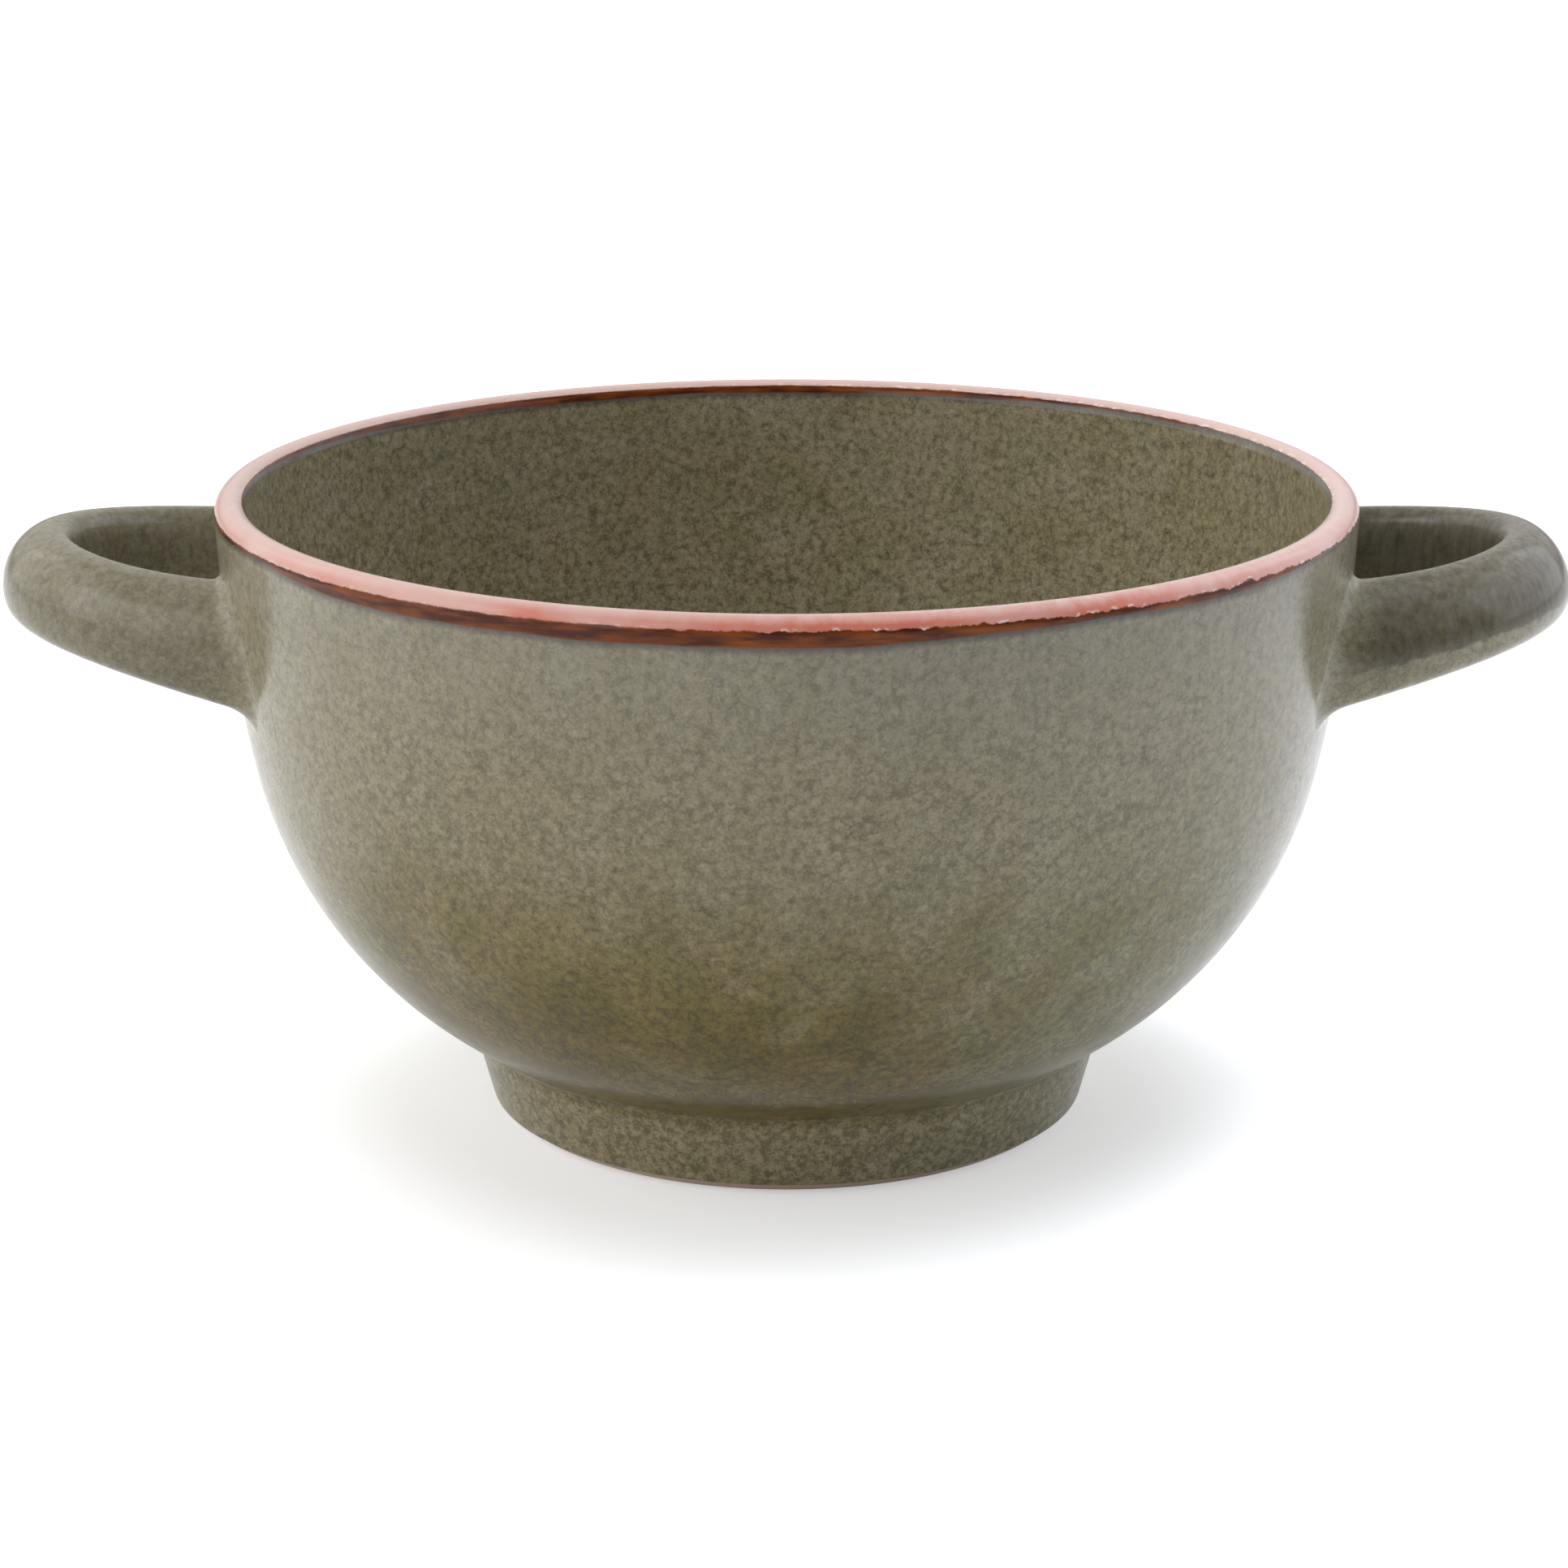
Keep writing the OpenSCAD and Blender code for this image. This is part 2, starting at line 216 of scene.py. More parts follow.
def angle(name, description, degrees):
    return FloatProperty(name=name, description=description, default=math.radians(degrees), subtype="ANGLE")


def colour(name, description, code):
    return FloatVectorProperty(
        name=name, description=description, default=linear(code), size=4, subtype="COLOR", min=0, max=1)


class LugBowlSizes(bpy.types.PropertyGroup):
    """Sizes of the bowl, the same as the solids'."""

    rim_radius: length("Rim radius", "Outside of the rim, from the axis", CAD_BOX[1].y)
    height: length("Height", "From the table to the top of the rim", CAD_BOX[1].z)
    wall: length("Wall", "Thickness of the wall, with its glaze", 0.0039)
    rim_lean: angle("Rim lean", "Lean of the wall at the rim", 2)
    belly_lean: angle("Belly lean", "Lean of the wall where it turns into the belly", 12)
    upper_radius: length("Upper arc", "Radius of the long arc of the upper wall", 0.18)
    foot_radius: length("Foot radius", "Foot at the table, before its edge is rounded", 0.0372)
    foot_width: length("Foot width", "Width of the foot ring at the table", 0.0072)
    foot_clearance: length("Clearance", "Bowl's underside above the table", 0.0039)
    foot_draft: angle("Foot draft", "Draft of the foot's outer side", 15)
    foot_inner_draft: angle("Inner draft", "Draft of the foot's inner side", 10)
    foot_round: length("Foot edge", "Rounding of the foot's outer bottom edge", 0.003)
    foot_inner_round: length("Inner edge", "Rounding of the foot's inner bottom edge", 0.0015)
    foot_cove: length("Cove", "Radius between foot and bowl, outside", 0.0025)
    foot_inner_cove: length("Inner cove", "Radius between foot and bowl, inside the ring", 0.0015)
    glaze_line: length("Glaze line", "Height at which the glaze stops", 0.0016)
    tip: length("Handle tip", "Outside of a handle's tip, from the axis", 0.0968)
    arm_half: length("Arm offset", "Middle of an arm, from the middle of the handle", 0.0219)
    loop: length("Loop", "Length of the loop, from its tip to its widest place", 0.0306)
    strap: length("Strap", "Thickness of the strap", 0.0073)
    strap_height: length("Strap height", "Height of the strap at the tip", 0.0114)
    strap_flare: FloatProperty(name="Flare", description="Growth of the strap's height at the wall", default=0.35)
    handle_height: length("Handle height", "Middle of a handle's tip above the table", 0.0687)
    handle_tilt: angle("Handle tilt", "Upward tilt of the handles", 9.6)
    fillet: length("Fillet", "Reach of the slip fillet at an arm's root", 0.0032)
    glaze: length("Glaze", "Thickness of a glaze coat", 0.0005)
    lip_outside: length("Lip band outside", "Reach of the pale band from the top of the rim", 0.0013)
    lip_inside: length("Lip band inside", "Reach of the pale band from the top of the rim", 0.0006)
    iron_outside: length("Iron band outside", "Height of the dark band", 0.0019)
    iron_inside: length("Iron band inside", "Height of the dark band", 0.001)


class LugBowlColours(bpy.types.PropertyGroup):
    """Colours of the fired clay and the glazes."""

    pale: colour("Pale fleck", "Light flecks of the olive glaze", "#978f78")
    olive: colour("Olive", "Body of the olive glaze", "#827a63")
    dark: colour("Dark fleck", "Dark flecks of the olive glaze", "#645d48")
    vein: colour("Vein", "Short dark dashes of all the glazes", "#48412f")
    ochre: colour("Ochre wash", "Wash of the warm clouds, white for none", "#d8c070")
    moss: colour("Moss wash", "Wash of the green clouds, white for none", "#bdcb76")
    # Colour of the painted shade on both handles and of the painted dark reflection on the right one's upper face
    arm: colour("Handle wash", "Wash that darkens the handles, white for none", "#8f8772")
    run: colour("Run", "Grey runs below the iron band", "#8e8a80")
    halo: colour("Halo", "Grey violet line below the iron band", "#3c373f")
    # The liner is the olive glaze painted lighter, as painted light for the inside, which the lamps leave dim
    liner_pale: colour("Liner fleck", "Light flecks of the liner", "#aaa28a")
    liner: colour("Liner", "Body of the liner", "#918872")
    liner_dark: colour("Liner dark fleck", "Dark flecks of the liner", "#68614e")
    # The lip's pale pink is partly painted sheen on its top and sides, and the beads' pale colour partly painted
    # highlight
    pink: colour("Lip", "Pale pink of the lip", "#c2a69d")
    coral: colour("Lip edge", "Deeper pink along the lip's lower edge", "#bb6c5a")
    bead_glint: colour("Bead", "Pale beads on the lip's lower edge", "#dcc8be")
    iron: colour("Iron", "Dark brown of the iron glaze", "#431803")
    amber: colour("Amber", "Thin places in the iron glaze", "#7a3c08")
    clay: colour("Clay", "Bare fired clay", "#6b4630")
    grog: colour("Grog", "Coarse grains in the clay", "#94704f")
    slip: colour("Slip", "Fired slip in the joints", "#8c6c50")


def add(tree, kind, inputs=None, stops=(), **settings):
    """Adds a shader node. An input takes a value, a socket, or a node, whose first working output is used."""
    node = tree.nodes.new("ShaderNode" + kind)
    for name, value in settings.items():
        setattr(node, name, value)
    for key, value in (inputs or {}).items():
        socket = next(s for s in node.inputs if s.identifier == key)
        if isinstance(value, bpy.types.Node):
            value = next(s for s in value.outputs if s.enabled)
        if isinstance(value, bpy.types.NodeSocket):
            tree.links.new(value, socket)
        else:
            socket.default_value = value
    for i, (place, shade) in enumerate(stops):
        ramp = node.color_ramp.elements
        stop = ramp[i] if i < 2 else ramp.new(place)
        stop.position = place
        stop.color = shade
    return node


def new_material(name):
    material = bpy.data.materials.new(name)
    material.use_nodes = True
    material.node_tree.nodes.clear()
    return material, material.node_tree


def level(lean):
    """Outward normal of the wall, at an angle below level, in the plane of the outline."""
    return Vector((math.cos(lean), 0, -math.sin(lean)))


def meet(point, along, centre, radius):
    """First place where a line from below meets a circle."""
    offset = point - centre
    b = offset.dot(along)
    return point + (-b - math.sqrt(b * b - offset.length_squared + radius * radius)) * along


def foot_side(base, draft, sign, rounding, cove_radius, belly, clay_radius):
    """One side of the foot in clay: its directions, and the centres of its rounding and its cove."""
    up = Vector((sign * math.sin(draft), 0, math.cos(draft)))
    away = Vector((sign * math.cos(draft), 0, -math.sin(draft)))
    edge = Vector((base.x - rounding * (1 + away.z) / away.x, 0, rounding))
    cove = meet(base + cove_radius * away, up, belly, clay_radius + cove_radius)
    corner = meet(base, up, belly, clay_radius)
    return SimpleNamespace(
        up=up, away=away, sign=sign, edge=edge, rounding=rounding, cove=cove, corner=corner)


def bowl_shape(size):
    """Centres and radii of the arcs that the bowl's outline is made of."""
    lip = Vector((size.rim_radius - size.wall / 2, 0, size.height - size.wall / 2))
    upper = lip - (size.upper_radius - size.wall / 2) * level(size.rim_lean)
    belly_top = upper + size.upper_radius * level(size.belly_lean)
    belly_radius = (belly_top.z - size.foot_clearance) / (1 - math.sin(size.belly_lean))
    belly = belly_top - belly_radius * level(size.belly_lean)
    clay_radius = belly_radius - size.glaze
    outer = foot_side(
        Vector((size.foot_radius - size.glaze / math.cos(size.foot_draft), 0, 0)),
        size.foot_draft, 1, size.foot_round, size.foot_cove, belly, clay_radius)
    inner = foot_side(
        Vector((size.foot_radius - size.foot_width + size.glaze / math.cos(size.foot_inner_draft), 0, 0)),
        size.foot_inner_draft, -1, size.foot_inner_round, size.foot_inner_cove, belly, clay_radius)
    return SimpleNamespace(
        lip=lip, upper=upper, belly_top=belly_top, belly_radius=belly_radius, belly=belly,
        outer=outer, inner=inner)


def lip_direction(size, face, drop):
    """Direction from the lip's middle to its surface at a drop below the top, as far as the lip goes."""
    down = min(2 * drop / size.wall - 1, face * math.sin(size.rim_lean))
    return Vector((face * math.sqrt(1 - down * down), 0, -down))


def lean_at(size, face, drop):
    """Lean of the upper wall at a drop below the top of the rim."""
    lip_drop = size.wall / 2 * (1 + face * math.sin(size.rim_lean))
    return size.rim_lean + max(0, drop - lip_drop) / size.upper_radius


def bend(bm, vert, centre, towards, step=EDGE_STEP):
    """Goes on with an outline from its last point, round a centre to a direction, and gives the new end."""
    start = vert.co - centre
    turn = math.atan2(
        start.z * towards.x - start.x * towards.z, start.x * towards.x + start.z * towards.z)
    made = bmesh.ops.spin(
        bm, geom=[vert], cent=centre, axis=(0, 1, 0), angle=turn, steps=math.ceil(abs(turn) / step))
    return next(g for g in made["geom_last"] if isinstance(g, bmesh.types.BMVert))


def pull(bm, vert, place):
    """Goes on with an outline from its last point, straight to a place."""
    new = bmesh.ops.extrude_vert_indiv(bm, verts=[vert])["verts"][0]
    new.co = place
    return new


def foot_line(bm, vert, size, side):
    """Goes on with a glazed outline from the bowl round a side's cove and down the foot to the glaze line."""
    vert = bend(bm, vert, side.cove, -side.away)
    radius = side.rounding + size.glaze
    straight_end = side.edge + radius * side.away
    above = size.glaze_line - straight_end.z
    if above > 0:
        pull(bm, vert, straight_end + above / side.up.z * side.up)
        return
    vert = pull(bm, vert, straight_end)
    down = (size.glaze_line - side.edge.z) / radius
    bend(bm, vert, side.edge, Vector((side.sign * math.sqrt(1 - down * down), 0, down)))


def face_out(bm, place, outward):
    """Merges doubles and turns all faces to the side that the one nearest to a place should show."""
    bmesh.ops.remove_doubles(bm, verts=bm.verts[:], dist=MERGE_DISTANCE)
    bmesh.ops.recalc_face_normals(bm, faces=bm.faces[:])
    nearest = min(bm.faces, key=lambda f: (f.calc_center_median() - place).length)
    if nearest.normal.dot(outward) < 0:
        bmesh.ops.reverse_faces(bm, faces=bm.faces[:])


def turn_round(bm, place, outward):
    """Turns an outline round the axis, with its faces to the outside."""
    bmesh.ops.spin(
        bm, geom=bm.verts[:] + bm.edges[:], cent=(0, 0, 0), axis=(0, 0, 1), angle=2 * math.pi,
        steps=TURN_STEPS, use_merge=True)
    face_out(bm, place, outward)


def turn_coat(bm, size, place, outward):
    """Turns an outline round the axis and gives the surface the thickness of a glaze coat."""
    turn_round(bm, place, outward)
    bmesh.ops.solidify(bm, geom=bm.faces[:], thickness=size.glaze)


def finish_piece(bm, name, slot, *nodes):
    """Makes an object of a mesh, smooth but for sharp edges, in its slot's material, that rides on the frame."""
    for face in bm.faces:
        face.smooth = True
    for edge in bm.edges:
        edge.smooth = edge.calc_face_angle(0) < SHARP_ANGLE
    mesh = bpy.data.meshes.new(name)
    bm.to_mesh(mesh)
    bm.free()
    mesh.materials.append(slot_material(slot))
    piece = bpy.data.objects.new(name, mesh)
    bpy.context.scene.collection.objects.link(piece)
    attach(piece, "root")
    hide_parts(*nodes)


def whereabouts(tree, size):
    """Where a point lies: its place, radius, drop below the top of the rim, and whether it is outside."""
    place = add(tree, "TexCoord").outputs["Object"]
    axes = add(tree, "SeparateXYZ", {"Vector": place})
    x, z = axes.outputs["X"], axes.outputs["Z"]
    drop = add(tree, "Math", {"Value": size.height, "Value_001": z}, operation="SUBTRACT")
    flat = add(tree, "VectorMath", {"Vector": place, "Vector_001": (1, 1, 0)}, operation="MULTIPLY")
    radius = add(tree, "VectorMath", {"Vector": flat}, operation="LENGTH").outputs["Value"]
    outside = add(tree, "Math", {
        "Value": radius, "Value_001": size.rim_radius - size.wall / 2}, operation="GREATER_THAN")
    return SimpleNamespace(place=place, x=x, z=z, drop=drop, flat=flat, radius=radius, outside=outside)


def flecks_and_veins(tree, at, tones, vein_colour, cloud_foot, breaks):
    """Pale blobs packed at about 1 mm, low in contrast, with finer dust and short dark dashes between them."""
    dark, body, pale = tones
    warp = add(tree, "TexNoise", {"Vector": at.place, "Scale": per_mm(1.4)})
    shifted = add(tree, "VectorMath", {
        "Vector": warp.outputs["Color"], "Vector_001": (FLECK_WARP,) * 3, "Vector_002": at.place},
        operation="MULTIPLY_ADD")
    grain = add(tree, "TexNoise", {"Vector": shifted, "Scale": per_mm(0.8), "Detail": 3.0, "Roughness": 0.65})
    cells = add(tree, "TexVoronoi", {
        "Vector": shifted, "Scale": per_mm(1.1), "Smoothness": 0.5}, feature="SMOOTH_F1")
    blobs = add(tree, "Math", {
        "Value": cells, "Value_001": CELL_SHARE, "Value_002": grain}, operation="MULTIPLY_ADD")
    dust = add(tree, "TexNoise", {"Vector": at.place, "Scale": per_mm(0.3), "Detail": 1.0})
    tone = add(tree, "Math", {
        "Value": dust, "Value_001": DUST_SHARE, "Value_002": blobs}, operation="MULTIPLY_ADD")

    # The contrast grows towards the foot
    swing = add(tree, "MapRange", {
        "Value": at.z, "From Min": CONTRAST_RISE[0], "From Max": CONTRAST_RISE[1],
        "To Min": FLECK_CONTRAST + FOOT_CONTRAST * cloud_foot, "To Max": FLECK_CONTRAST})
    offset = add(tree, "Math", {"Value": tone, "Value_001": BODY_TONE}, operation="SUBTRACT")
    contrast = add(tree, "Math", {
        "Value": offset, "Value_001": swing, "Value_002": BODY_TONE}, operation="MULTIPLY_ADD")
    flecks = add(tree, "ValToRGB", {"Fac": contrast}, stops=(
        (DARK_TONE, dark), (PALE_TONE, pale), (BODY_TONE, body)))

    net = add(tree, "TexVoronoi", {"Vector": shifted, "Scale": per_mm(1.3)}, feature="DISTANCE_TO_EDGE")
    line = add(tree, "MapRange", {
        "Value": net, "From Max": 0.15, "To Min": 1.0, "To Max": 0.0}, interpolation_type="SMOOTHSTEP")
    kept = add(tree, "MapRange", {
        "Value": breaks, "From Min": 0.48, "From Max": 0.64, "To Max": VEIN_STRENGTH},
        interpolation_type="SMOOTHSTEP")
    vein = add(tree, "Math", {"Value": line, "Value_001": kept}, operation="MULTIPLY")
    return add(tree, "Mix", {"Factor_Float": vein, "A_Color": flecks, "B_Color": vein_colour}, data_type="RGBA")


def clouds(tree, at, hue, under, cloud_top, cloud_foot):
    """Clouds of ochre and moss, 5 to 10 mm across, thickest where the flame came in; low on the wall they are
    partly painted shade, and they are thin on the foot, which is painted lighter.
    """
    # The clouds thicken down the wall: partly the glaze's own clouds, partly painted shade
    rising = add(tree, "MapRange", {
        "Value": at.z, "From Min": CLOUD_AND_SHADE_RISE[0], "From Max": CLOUD_AND_SHADE_RISE[1],
        "To Min": cloud_foot, "To Max": cloud_top}, interpolation_type="SMOOTHSTEP")
    on_foot = add(tree, "MapRange", {
        "Value": at.z, "From Min": FOOT_TOP[0], "From Max": FOOT_TOP[1], "To Min": FOOT_CLOUDS, "To Max": 1.0})
    thick = add(tree, "Math", {"Value": rising, "Value_001": on_foot}, operation="MULTIPLY")

    away = add(tree, "VectorMath", {"Vector": at.place, "Vector_001": FLAME}, operation="DISTANCE")
    flame = add(tree, "MapRange", {
        "Value": away.outputs["Value"], "From Min": FLAME_REACH[0], "From Max": FLAME_REACH[1],
        "To Min": FLAME_HEAT, "To Max": 0.0}, interpolation_type="SMOOTHSTEP")
    haze = add(tree, "TexNoise", {"Vector": at.place, "Scale": per_mm(9), "Detail": 4.0, "Roughness": 0.6})
    warm = add(tree, "Math", {"Value": haze, "Value_001": flame}, operation="ADD")
    glow = add(tree, "MapRange", {"Value": warm, "From Min": 0.36, "From Max": 0.72})
    ochre = add(tree, "Math", {"Value": glow, "Value_001": thick}, operation="MULTIPLY")

    drift = add(tree, "VectorMath", {"Vector": at.place, "Vector_001": MOSS_DRIFT}, operation="ADD")
    mist = add(tree, "TexNoise", {"Vector": drift, "Scale": per_mm(7), "Detail": 4.0, "Roughness": 0.6})
    bloom = add(tree, "MapRange", {"Value": mist, "From Min": 0.25, "From Max": 0.67})
    moss = add(tree, "Math", {"Value": bloom, "Value_001": thick}, operation="MULTIPLY")

    # Painted light: the foot is made a quarter lighter
    foot_painted_light = add(tree, "MapRange", {
        "Value": at.z, "From Min": FOOT_TOP[0], "From Max": FOOT_TOP[1], "To Min": cloud_foot, "To Max": 0.0})
    coat = under
    for share, wash in ((ochre, hue.ochre), (moss, hue.moss), (foot_painted_light, FOOT_PAINTED_LIGHT)):
        coat = add(tree, "Mix", {
            "Factor_Float": share, "A_Color": coat, "B_Color": wash}, data_type="RGBA", blend_type="MULTIPLY")
    return coat


def painted_handle_shade(tree, at, hue, size, under):
    """Painted shade: darkens the handles against the wall that they grow out of, and on the right one paints
    a dark reflection on the upper face down to a ragged line.
    """
    on_arm = add(tree, "MapRange", {
        "Value": at.radius, "From Min": size.rim_radius + ARM_SHADE_RISE[0], "From Max": size.rim_radius + ARM_SHADE_RISE[1]})
    lie = add(tree, "Math", {
        "Value": at.x, "Value_001": -math.tan(size.handle_tilt), "Value_002": at.z}, operation="MULTIPLY_ADD")
    tatter = add(tree, "TexNoise", {"Vector": at.place, "Scale": per_mm(3), "Detail": 4.0, "Roughness": 0.65})
    ragged = add(tree, "Math", {
        "Value": tatter, "Value_001": ARM_TATTER, "Value_002": lie}, operation="MULTIPLY_ADD")
    held = add(tree, "MapRange", {
        "Value": ragged, "From Min": ARM_REFLECTION_LINE, "From Max": ARM_REFLECTION_LINE + 0.0005, "To Min": 0.1, "To Max": 1.0})
    by_hand = add(tree, "MapRange", {"Value": at.x, "From Max": 0.001, "To Min": LEFT_PAINTED_SHADE, "To Max": held})
    shaded = add(tree, "Math", {"Value": on_arm, "Value_001": by_hand}, operation="MULTIPLY")
    return add(tree, "Mix", {
        "Factor_Float": shaded, "A_Color": under, "B_Color": hue.arm}, data_type="RGBA", blend_type="MULTIPLY")


def grey_runs(tree, at, hue, under, runs):
    """Grey streaks about 1 mm wide below the bands."""
    tall = add(tree, "VectorMath", {"Vector": at.place, "Vector_001": (1, 1, 0.12)}, operation="MULTIPLY")
    streak = add(tree, "TexNoise", {"Vector": tall, "Scale": per_mm(0.9)})
    reach = add(tree, "MapRange", {
        "Value": at.drop, "From Min": RUN_REACH[0], "From Max": RUN_REACH[1], "To Min": runs, "To Max": 0.0},
        interpolation_type="SMOOTHSTEP")
    running = add(tree, "Math", {"Value": streak, "Value_001": reach}, operation="MULTIPLY")
    return add(tree, "Mix", {"Factor_Float": running, "A_Color": under, "B_Color": hue.run}, data_type="RGBA")


def band_edges(tree, at, size):
    """How far a point is inside the halo, the iron and the lip, and how coarse the edges are there."""
    # The iron is thick at the front and left, thin on the right, and runs out before the handles
    lip_reach = add(tree, "MapRange", {
        "Value": at.outside, "To Min": size.lip_inside, "To Max": size.lip_outside + LIP_SPREAD})
    iron_reach = add(tree, "MapRange", {
        "Value": at.outside, "To Min": size.iron_inside, "To Max": size.iron_outside + IRON_SPREAD})
    across = add(tree, "MapRange", {"Value": at.x, "From Min": -size.rim_radius, "From Max": size.rim_radius})
    fade = add(tree, "ValToRGB", {"Fac": across}, stops=[
        (share, (part, part, part, 1)) for share, part in IRON_FADE])

    # Teeth of 1 to 2 mm, coarser on the right, on slow waves
    coarse = add(tree, "MapRange", {
        "Value": at.x, "From Min": -0.02, "From Max": 0.015, "To Min": 0.3, "To Max": 1.0})
    teeth = add(tree, "TexNoise", {"Vector": at.flat, "Scale": per_mm(2.2), "Detail": 3.0, "Roughness": 0.65})
    depth = add(tree, "MapRange", {"Value": at.outside, "To Min": TOOTH_DEPTH[0], "To Max": TOOTH_DEPTH[1]})
    jag = add(tree, "MapRange", {
        "Value": teeth, "From Min": 0.25, "From Max": 0.75, "To Min": -1.0, "To Max": 1.0})
    bite = add(tree, "Math", {"Value": jag, "Value_001": depth}, operation="MULTIPLY")
    lip_edge = add(tree, "Math", {
        "Value": bite, "Value_001": coarse, "Value_002": lip_reach}, operation="MULTIPLY_ADD")
    waves = add(tree, "TexNoise", {"Vector": at.flat, "Scale": per_mm(20)})
    wavy = add(tree, "MapRange", {
        "Value": waves, "From Min": 0.25, "From Max": 0.75, "To Min": -WAVE_DEPTH, "To Max": WAVE_DEPTH})
    iron_height = add(tree, "Math", {
        "Value": iron_reach, "Value_001": fade, "Value_002": wavy}, operation="MULTIPLY_ADD")
    iron_edge = add(tree, "Math", {"Value": lip_reach, "Value_001": iron_height}, operation="ADD")

    below_lip = add(tree, "Math", {"Value": at.drop, "Value_001": lip_edge}, operation="SUBTRACT")
    below_iron = add(tree, "Math", {"Value": at.drop, "Value_001": iron_edge}, operation="SUBTRACT")
    halo = add(tree, "MapRange", {
        "Value": below_iron, "From Max": HALO_REACH, "To Min": 0.65, "To Max": 0.0},
        interpolation_type="SMOOTHSTEP")
    iron = add(tree, "MapRange", {
        "Value": below_iron, "From Min": IRON_BLUR[0], "From Max": IRON_BLUR[1], "To Min": 1.0, "To Max": 0.0},
        interpolation_type="SMOOTHSTEP")
    lip = add(tree, "MapRange", {
        "Value": below_lip, "From Min": -LIP_BLUR, "From Max": LIP_BLUR, "To Min": 1.0, "To Max": 0.0})
    return SimpleNamespace(coarse=coarse, below_lip=below_lip, halo=halo, iron=iron, lip=lip)


def iron_streaks(tree, at, hue):
    """Iron with long streaks of amber, and grey violet smears that are painted sheen."""
    along = add(tree, "VectorMath", {"Vector": at.place, "Vector_001": (0.14, 0.14, 1)}, operation="MULTIPLY")
    tone = add(tree, "TexNoise", {"Vector": along, "Scale": per_mm(0.8), "Detail": 3.0})
    streaks = add(tree, "ValToRGB", {"Fac": tone}, stops=((0.38, hue.iron), (0.66, hue.amber)))
    # Painted sheen: grey violet smears along the iron
    sheen_noise = add(tree, "TexNoise", {"Vector": along, "Scale": per_mm(1.7), "Detail": 3.0})
    smear = add(tree, "MapRange", {"Value": sheen_noise, "From Min": 0.6, "From Max": 0.72, "To Max": 0.2})
    return add(tree, "Mix", {"Factor_Float": smear, "A_Color": streaks, "B_Color": hue.halo}, data_type="RGBA")


def beaded_lip(tree, at, hue, edges):
    """Pink, with patches of coral towards the lower edge at the front, and pale beads on that edge. The pale pink
    above and beside the coral is partly painted sheen, and the beads are partly painted highlight.
    """
    deepen = add(tree, "MapRange", {
        "Value": edges.below_lip, "From Min": CORAL_RISE[0], "From Max": CORAL_RISE[1]})
    brushed = add(tree, "TexNoise", {"Vector": at.place, "Scale": per_mm(12), "Detail": 3.0})
    blush = add(tree, "MapRange", {"Value": brushed, "From Min": 0.34, "From Max": 0.56, "To Min": 0.4})
    aside = add(tree, "Math", {"Value": at.x}, operation="ABSOLUTE")
    ahead = add(tree, "MapRange", {
        "Value": aside, "From Min": CORAL_SHEEN_SIDES[0], "From Max": CORAL_SHEEN_SIDES[1], "To Min": 1.0, "To Max": 0.3})
    deep = deepen
    for share in (blush, ahead, at.outside):
        deep = add(tree, "Math", {"Value": deep, "Value_001": share}, operation="MULTIPLY")
    pink = add(tree, "Mix", {"Factor_Float": deep, "A_Color": hue.pink, "B_Color": hue.coral}, data_type="RGBA")
    # Pale beads on the edge: partly the glaze's own beads, partly painted highlight
    beading = add(tree, "MapRange", {
        "Value": edges.below_lip, "From Min": BEAD_GLINT_RISE[0], "From Max": BEAD_GLINT_RISE[1]})
    beaded = add(tree, "TexNoise", {"Vector": at.flat, "Scale": per_mm(1.6)})
    dotted = add(tree, "MapRange", {
        "Value": beaded, "From Min": 0.54, "From Max": 0.62, "To Max": edges.coarse})
    bead_glint = add(tree, "Math", {"Value": beading, "Value_001": dotted}, operation="MULTIPLY")
    return add(tree, "Mix", {"Factor_Float": bead_glint, "A_Color": pink, "B_Color": hue.bead_glint}, data_type="RGBA")


